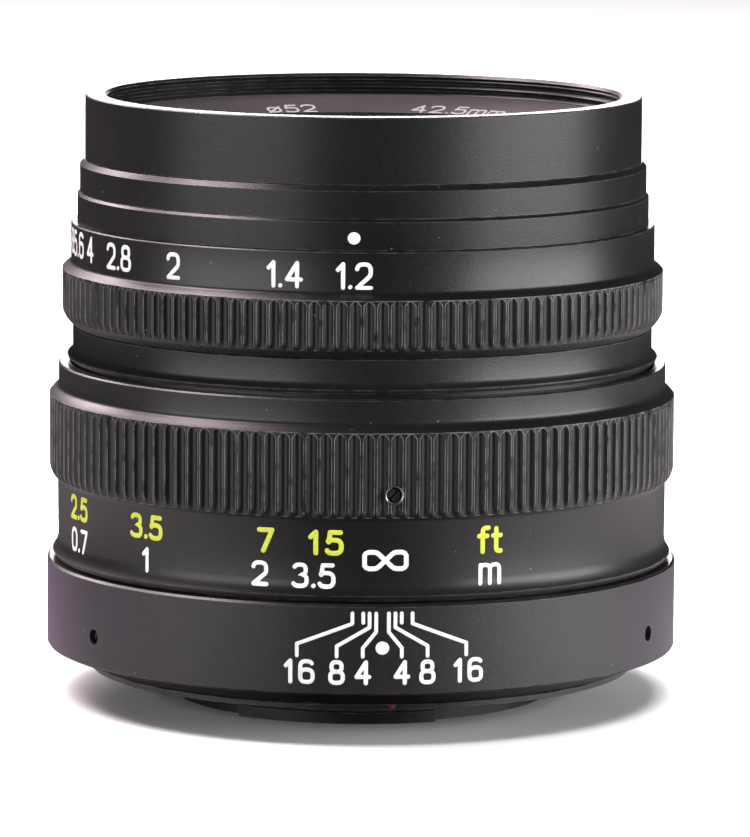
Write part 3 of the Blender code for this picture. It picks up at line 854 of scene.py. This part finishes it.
def build_focus_ring():
    profile = [
        (30.25, FOCUS_TOP),
        (30.39, FOCUS_TOP - 0.14),
        (30.39, 31.4),
        (30.43, 31.15),
        (30.52, 30.95),
        (30.66, 30.82),
        (30.92, 30.68),
        (FOCUS_GRIP_R, 30.24),
        (FOCUS_GRIP_R, 29.7, 0.0, 0.46),
        (FOCUS_GRIP_R, 29.66, FOCUS_TOOTH, 0.4),
        (FOCUS_GRIP_R, 23.1, FOCUS_TOOTH, 0.0),
        (31.22, 22.65, FOCUS_TOOTH - 0.08, 0.0),
        (31.08, 22.32, FOCUS_TOOTH - 0.22, 0.0),
        (30.88, 22.05),
        (30.68, 21.88),
        (30.56, 21.72),
        (FOCUS_SCALE_R + 0.04, 21.55),
        (FOCUS_SCALE_R, 16.0),
        (30.5, 15.55),
        (30.66, 15.0),
        (30.9, 14.65),
        (31.0, 14.5),
        (30.98, 14.35),
        (30.8, FOCUS_BOTTOM),
        (29.3, FOCUS_BOTTOM),
        (29.3, FOCUS_TOP),
    ]
    ring = turned("focus_ring_black", profile, ANODISED, GRIP_SIDES)
    # The grip band gets the anodising with painted edge highlights.
    coat_band(ring, GRIP_PAINTED_HIGHLIGHT_ANODISED, 22.0, 30.7, 30.6)
    rim = [(0.76, 31.26), (0.84, 31.32), (0.93, 31.3), (0.98, 31.2), (0.98, 30.7), (0.76, 30.7)]
    for number, azimuth in enumerate(FOCUS_SCREW_AZIMUTHS, 1):
        cut_hole(ring, azimuth, FOCUS_SCREW_Z, 28.0, FOCUS_HOLE_R)
        eyelet = turned(f"focus_screw_rim_{number}", rim, RUBBED_EDGE, SMALL_SIDES)
        stand_radially(eyelet, azimuth, FOCUS_SCREW_Z)
        give(eyelet, "focus_group", "bare_steel")
    finish_mesh(ring)
    give(ring, "focus_group", BLACK_SLOT, "focus_ring")


def build_neck():
    profile = [
        (NECK_R - 0.05, NECK_TOP),
        (NECK_R, NECK_TOP - 0.05),
        (NECK_R, 34.98),
        (29.03, 34.76),
        (29.14, 34.54),
        (29.3, 34.36),
        (29.48, 34.22),
        (29.52, 34.12),
        (29.42, LIP_BOTTOM),
        (28.93, LIP_BOTTOM),
        (28.93, 27.5),
        (28.0, 27.5),
        (28.0, 34.5),
        (26.4, 34.5),
        (26.4, NECK_TOP),
    ]
    neck = turned("neck_sleeve_black", profile, ANODISED)
    give(neck, "front_unit", BLACK_SLOT, "neck_sleeve")


def build_aperture_ring():
    profile = [
        (APERTURE_BAND_R - 0.1, APERTURE_TOP),
        (APERTURE_BAND_R, APERTURE_TOP - 0.1),
        (APERTURE_BAND_FOOT_R, 43.62),
        (APERTURE_BAND_R + 0.1, 43.4),
        (APERTURE_BAND_R + 0.26, 43.26),
        (29.72, 43.1),
        (APERTURE_GRIP_R, 42.78),
        (APERTURE_GRIP_R, 42.32, 0.0, 0.4),
        (APERTURE_GRIP_R, 42.28, APERTURE_TOOTH, 0.35),
        (APERTURE_GRIP_R, 38.85, APERTURE_TOOTH, 0.0),
        (29.94, 38.45, APERTURE_TOOTH - 0.09, 0.0),
        (29.8, 38.15, APERTURE_TOOTH - 0.23, 0.0),
        (29.67, 37.95),
        (29.42, 37.62),
        (28.94, APERTURE_BOTTOM - 0.1),
        (27.3, APERTURE_BOTTOM - 0.1),
        (27.3, APERTURE_TOP),
    ]
    ring = turned("aperture_ring_black", profile, ANODISED, GRIP_SIDES)
    # The grip band gets the anodising with painted edge highlights.
    coat_band(ring, GRIP_PAINTED_HIGHLIGHT_ANODISED, 37.9, 42.95, 29.3)
    give(ring, "aperture_group", BLACK_SLOT, "aperture_ring")


def build_front_rings():
    """Index ring, trim ring and the filter ring with its thread."""
    inner = 26.4
    profile = [
        (INDEX_R - 0.25, INDEX_TOP),
        (INDEX_R, INDEX_TOP - 0.24),
        (INDEX_R, APERTURE_TOP + SEAM),
        (inner, APERTURE_TOP + SEAM),
        (inner, INDEX_TOP),
    ]
    give(turned("index_ring_black", profile, ANODISED), "front_unit", BLACK_SLOT, "index_ring")
    profile = [
        (TRIM_R - 0.44, TRIM_TOP),
        (TRIM_R, TRIM_TOP - 0.5),
        (TRIM_R, INDEX_TOP + SEAM),
        (inner, INDEX_TOP + SEAM),
        (inner, TRIM_TOP),
    ]
    give(turned("trim_ring_black", profile, ANODISED), "front_unit", BLACK_SLOT, "trim_ring")
    seat = 56.0
    thread = [(THREAD_MINOR_R, seat)]
    height = THREAD_BOTTOM
    while height < OVERALL - 0.5:
        thread.append((THREAD_MINOR_R, height))
        thread.append((THREAD_MAJOR_R, height + THREAD_PITCH / 2))
        height += THREAD_PITCH
    profile = [
        (RIM_R - 0.1, OVERALL),
        (RIM_R, OVERALL - 0.1),
        (RIM_R, TRIM_TOP + SEAM),
        (23.8, TRIM_TOP + SEAM),
        (23.8, seat),
    ]
    profile += thread + [(THREAD_MINOR_R, OVERALL - 0.3), (THREAD_MINOR_R + 0.25, OVERALL)]
    ring = turned("filter_ring_black", profile, ANODISED, FINE_SIDES)
    give(ring, "front_unit", BLACK_SLOT, "filter_ring")


# --- optics and inner parts --------------------------------------------------------------


def build_optics():
    """Glass, name ring, front cell and its retainer."""
    elements = [
        (20.7, 52.9, 51.8, 4.3, 1.6),
        (18.9, 48.3, 45.6, 1.2, 1.5),
        (16.9, 44.3, 42.2, 0.0, 1.8),
        (16.1, 35.9, 34.3, -1.9, 0.0),
        (15.7, 33.2, 29.0, 0.0, -1.9),
        (15.7, 25.2, 22.6, 1.6, -0.6),
        (15.7, 20.0, 17.6, 0.8, -1.4),
    ]
    for number, (radius, top, bottom, sag_top, sag_bottom) in enumerate(elements, 1):
        profile = dome(radius, top, sag_top) + dome(radius, bottom, sag_bottom)[::-1]
        look = FRONT_GLASS if number == 1 else INNER_GLASS
        glass = turned(f"glass_{number}", profile, look, GLASS_SIDES, closed=False)
        give(glass, "front_unit", "optical_glass", f"lens_element_{number}")
    profile = [NAME_RING_OUTER, (25.3, 57.0), (21.6, 55.7), (21.2, 56.4), NAME_RING_INNER]
    # The name ring's pinkish tone is a painted reflection.
    name_ring = turned("name_ring_black", profile, NAME_RING_PAINTED_PINK)
    give(name_ring, "front_unit", MATT_SLOT, "name_ring")
    profile = [
        (23.4, 55.0),
        (23.4, 53.15),
        (24.4, 53.15),
        (24.4, 41.2),
        (16.0, 41.2),
        (16.0, 41.9),
        (17.2, 41.9),
        (17.2, 44.9),
        (19.2, 44.9),
        (19.2, 51.5),
        (21.0, 51.5),
        (21.0, 53.2),
        (22.6, 53.2),
        (22.6, 55.0),
    ]
    give(turned("front_cell_black", profile, MATT_BLACK), "front_unit", MATT_SLOT, "front_cell")
    profile = [(22.3, 54.9), (22.3, 53.5), (20.0, 53.5), (20.0, 54.0), (20.9, 54.9)]
    retainer = turned("front_retainer_black", profile, MATT_BLACK)
    give(retainer, "front_unit", MATT_SLOT, "front_retainer")


def finish_inner_nodes():
    """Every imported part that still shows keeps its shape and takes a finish."""
    finishes = {
        "black_anodised_aluminium": ANODISED,
        "matt_black_metal": MATT_BLACK,
        "bare_steel": STEEL,
        "machined_brass": BRASS,
        "machined_aluminium": ALUMINIUM,
        "optical_glass": INNER_GLASS,
    }
    screws = ("focus_screw", "base_screw")
    for part in frame["record"]["subparts"]:
        node = frame["nodes"][part["node"]]
        look = finishes[part["material_slot"]]
        if part["node"].startswith(screws):
            look = SCREW_BLACK
        for slot in node.material_slots:
            slot.material = look


# --- scales ------------------------------------------------------------------------------


def placed(text, kind, azimuth, radius):
    """One text on a ring; a row climbs a little away from the index."""
    height, middle_z, widen, width = kind
    middle_z += ROW_RISE * azimuth * azimuth
    return shifted(lettering(text, height, widen), math.radians(azimuth) * radius, middle_z), width


def short(number):
    return f"{number:g}"


def aperture_azimuth(number):
    """Where a stop's number is, from how far its pupil has closed."""
    closed_by = OPEN_PUPIL_R * (1 - F_NUMBERS[0] / number)
    return 0.1 + APERTURE_INDEX_AZIMUTH - DEGREES_PER_PUPIL_MM * closed_by


def build_scales():
    """The stops with a dot for 11, the index over them, and the distances in feet and metres."""
    stops = [placed(short(n), F_TEXT, aperture_azimuth(n), APERTURE_BAND_FOOT_R) for n in F_NUMBERS]
    stops.append(dot(0.5, aperture_azimuth(DOT_F_NUMBER), APERTURE_BAND_R, F_TEXT[1]))
    numbers = marks("aperture_numbers", stops, lambda z: APERTURE_BAND_R + 0.015, WHITE_PAINT)
    give(numbers, "aperture_group", BLACK_SLOT)

    index = dot(1.2, APERTURE_INDEX_AZIMUTH, INDEX_R, 48.65)
    index_dot = marks("aperture_index_dot", [index], lambda z: INDEX_R, WHITE_PAINT)
    give(index_dot, "front_unit", BLACK_SLOT)

    scale_r = FOCUS_SCALE_R
    feet = [placed(text, FOOT_TEXT, azimuth, scale_r) for text, azimuth in FOOT_MARKS.items()]
    feet.append(placed("ft", FOOT_UNIT_TEXT, UNIT_AZIMUTH, scale_r))
    give(marks("foot_numbers", feet, focus_scale_radius, YELLOW_PAINT), "focus_group", BLACK_SLOT)
    metres = [placed(text, METRE_TEXT, azimuth, scale_r) for text, azimuth in METRE_MARKS.items()]
    metres.append(placed("m", METRE_UNIT_TEXT, UNIT_AZIMUTH, scale_r))
    metres.append(placed("infinity", INFINITY_TEXT, INFINITY_AZIMUTH, scale_r))
    give(marks("metre_numbers", metres, focus_scale_radius, WHITE_PAINT), "focus_group", BLACK_SLOT)


def depth_scale():
    """Tick, dog-leg line and number for each stop on both sides of the focus index."""
    centre = DEPTH_SCALE_AZIMUTH
    top, line_end, lone_tick_bottom, index_z = 12.95, 8.75, 12.05, 9.6
    bends = {4: 11.15, 8: 11.6, 16: 11.95}
    feet = {4: 9.6, 8: 9.75, 16: 9.9}
    two_digit_shift = 0.4
    groups = []

    def at(turn, height):
        return math.radians(centre + turn) * BASE_R, height

    for number, spread in DEPTH_NUMBERS.items():
        for side in (-1, 1):
            tick = side * DEPTH_TICKS[number]
            line = [at(tick, top), at(tick, bends[number])]
            line += [at(side * spread, feet[number]), at(side * spread, line_end)]
            groups.append(([line[0:2], line[1:3], line[2:4]], DEPTH_STROKE))
            middle = centre + side * spread + (two_digit_shift if number > 9 else 0.0)
            groups.append(placed(short(number), DEPTH_TEXT, middle, BASE_R))
    lone = DEPTH_TICKS[11]
    ticks = [[at(side * lone, top), at(side * lone, lone_tick_bottom)] for side in (-1, 1)]
    groups.append((ticks, DEPTH_STROKE))
    groups.append(dot(1.3, centre, BASE_R, index_z))
    scale = marks("depth_scale_marks", groups, lambda z: BASE_R, WHITE_PAINT)
    give(scale, "mount_barrel", BLACK_SLOT)


def name_ring_text():
    """Generic figures of the lens on the sloping name ring, their tops outwards."""
    (inner_r, inner_z), (outer_r, outer_z) = NAME_RING_INNER, NAME_RING_OUTER
    slope = (outer_z - inner_z) / (outer_r - inner_r)
    middle_r, above_ring = 22.05, 0.01
    for place, (text, azimuth) in NAME_RING_TEXTS.items():
        groups = [(lettering(text, 1.5, 1.5), NAME_RING_STROKE)]
        piece = stroke_tubes("name_ring_text_" + place, groups, DULL_PAINT)
        for vert in piece.data.vertices:
            x, y, depth = vert.co
            radius = middle_r + y
            turn = azimuth - math.degrees(x / middle_r)
            surface_z = inner_z + slope * (radius - inner_r)
            vert.co = on_circle(turn, radius, surface_z + above_ring + flattened(depth))
        finish_mesh(piece, MARK_SMOOTH_ANGLE)
        give(piece, "front_unit", MATT_SLOT)


# --- stage -------------------------------------------------------------------------------


def area_light(name, azimuth, elevation, distance, width, height, power, colour):
    """A panel of light that faces the middle of the lens, where the angles are in degrees."""
    data = bpy.data.lights.new(name, "AREA")
    data.shape = "RECTANGLE"
    data.size = width
    data.size_y = height
    data.energy = power
    data.color = colour
    lamp = bpy.data.objects.new(name, data)
    turn, lift = math.radians(azimuth), math.radians(elevation)
    lamp.location = (
        math.sin(turn) * math.cos(lift) * distance,
        -math.cos(turn) * math.cos(lift) * distance,
        math.sin(lift) * distance + OVERALL / 2 * MM,
    )
    lamp.rotation_euler = (math.pi / 2 - lift, 0, turn)
    bpy.context.scene.collection.objects.link(lamp)
    return lamp


def light_only(lamp, pieces):
    """Keeps a lamp's light to some pieces."""
    lit = bpy.data.collections.new(lamp.name + "_lights")
    for piece in pieces:
        lit.objects.link(piece)
    lamp.light_linking.receiver_collection = lit


def build_stage():
    bpy.ops.object.select_all(action="DESELECT")
    bpy.ops.mesh.primitive_plane_add(size=12.0)
    floor = bpy.context.object
    floor.name = "studio_floor"
    set_material(floor, floor_with_painted_light())

    world = bpy.data.worlds.new("studio_air")
    bpy.context.scene.world = world
    world.use_nodes = True
    tree = world.node_tree
    back = tree.nodes["Background"]
    back.inputs["Color"].default_value = (1, 1, 1, 1)
    seen = tree.nodes.new("ShaderNodeLightPath").outputs["Is Camera Ray"]
    strength_as_light, strength_as_seen = 0.03, 1.1
    strength = ramp(tree, seen, 0.0, 1.0, strength_as_light, strength_as_seen)
    tree.links.new(strength, back.inputs["Strength"])

    lamps = {name: area_light(name, *values) for name, values in LIGHTS.items()}
    meshes = [piece for piece in bpy.data.objects if piece.type == "MESH"]
    light_only(lamps["overhead_floor_light"], [floor])
    light_only(lamps["front_fill_on_marks"], [mesh for mesh in meshes if mesh.name in MARK_PIECES])
    for name in GLOWS:
        light_only(lamps[name], [mesh for mesh in meshes if mesh.name not in GLOW_SHADED])
    bpy.context.scene.view_settings.view_transform = "Standard"


def floor_with_painted_light():
    """White to the camera. In the lens's own reflections, a painted pool of light that is pale near the
    lens, at its sides and in front, weaker behind it and to the left, and dark further off.
    """
    look, tree, shader = shader_of("pale_floor_painted_light_pool")
    shader.inputs["Base Color"].default_value = (0.9, 0.9, 0.91, 1)
    shader.inputs["Roughness"].default_value = 0.8
    shader.inputs["Specular IOR Level"].default_value = 0.1
    reach = tree.nodes.new("ShaderNodeVectorMath")
    reach.operation = "LENGTH"
    tree.links.new(object_place(tree), reach.inputs[0])
    distance = reach.outputs["Value"]
    parts = tree.nodes.new("ShaderNodeSeparateXYZ")
    tree.links.new(object_place(tree), parts.inputs["Vector"])
    across = math_node(tree, "DIVIDE", parts.outputs["X"], distance)
    along = math_node(tree, "DIVIDE", parts.outputs["Y"], distance)
    # Painted pool of light seen only in reflections: strong near the lens, to its sides and in front,
    # weaker behind it and to the left.
    nearness = ramp(tree, distance, 0.3, 0.08)
    aside = ramp(tree, math_node(tree, "ABSOLUTE", across), 0.2, 0.85)
    ahead = ramp(tree, along, 0.9, -0.3, 0.3, 1.0)
    right = ramp(tree, across, -0.8, 0.8, 0.6, 1.0)
    lit = product(tree, nearness, aside, ahead, right)
    painted_light_sheet = tree.nodes.new("ShaderNodeBsdfDiffuse")
    tone = mix_colour(tree, lit, (0.01, 0.01, 0.01, 1), (0.6, 0.57, 0.59, 1))
    tree.links.new(tone, painted_light_sheet.inputs["Color"])
    choice = tree.nodes.new("ShaderNodeMixShader")
    seen = tree.nodes.new("ShaderNodeLightPath").outputs["Is Camera Ray"]
    tree.links.new(seen, choice.inputs["Fac"])
    tree.links.new(painted_light_sheet.outputs["BSDF"], choice.inputs[1])
    tree.links.new(shader.outputs["BSDF"], choice.inputs[2])
    tree.links.new(choice.outputs["Shader"], tree.nodes["Material Output"].inputs["Surface"])
    return look


def build_camera():
    """A long lens a little above the rim, looking down; angles in degrees."""
    distance, height = 594.6, 109.6
    pitch, roll, yaw = 7.87, 0.36, -0.127
    data = bpy.data.cameras.new("lens_camera")
    data.lens = 257.1
    data.sensor_width = 36.0
    data.clip_start = 0.01
    data.clip_end = 50.0
    camera = bpy.data.objects.new("lens_camera", data)
    turn = Matrix.Identity(3)
    for angle, axis in ((yaw, "Z"), (90 - pitch, "X"), (roll, "Z")):
        turn = turn @ Matrix.Rotation(math.radians(angle), 3, axis)
    camera.rotation_euler = turn.to_euler()
    camera.location = (0, -distance * MM, height * MM)
    bpy.context.scene.collection.objects.link(camera)
    bpy.context.scene.camera = camera


build_bayonet()
build_base_ring()
build_focus_ring()
build_neck()
build_aperture_ring()
build_front_rings()
build_optics()
finish_inner_nodes()
build_scales()
depth_scale()
name_ring_text()
build_stage()
build_camera()
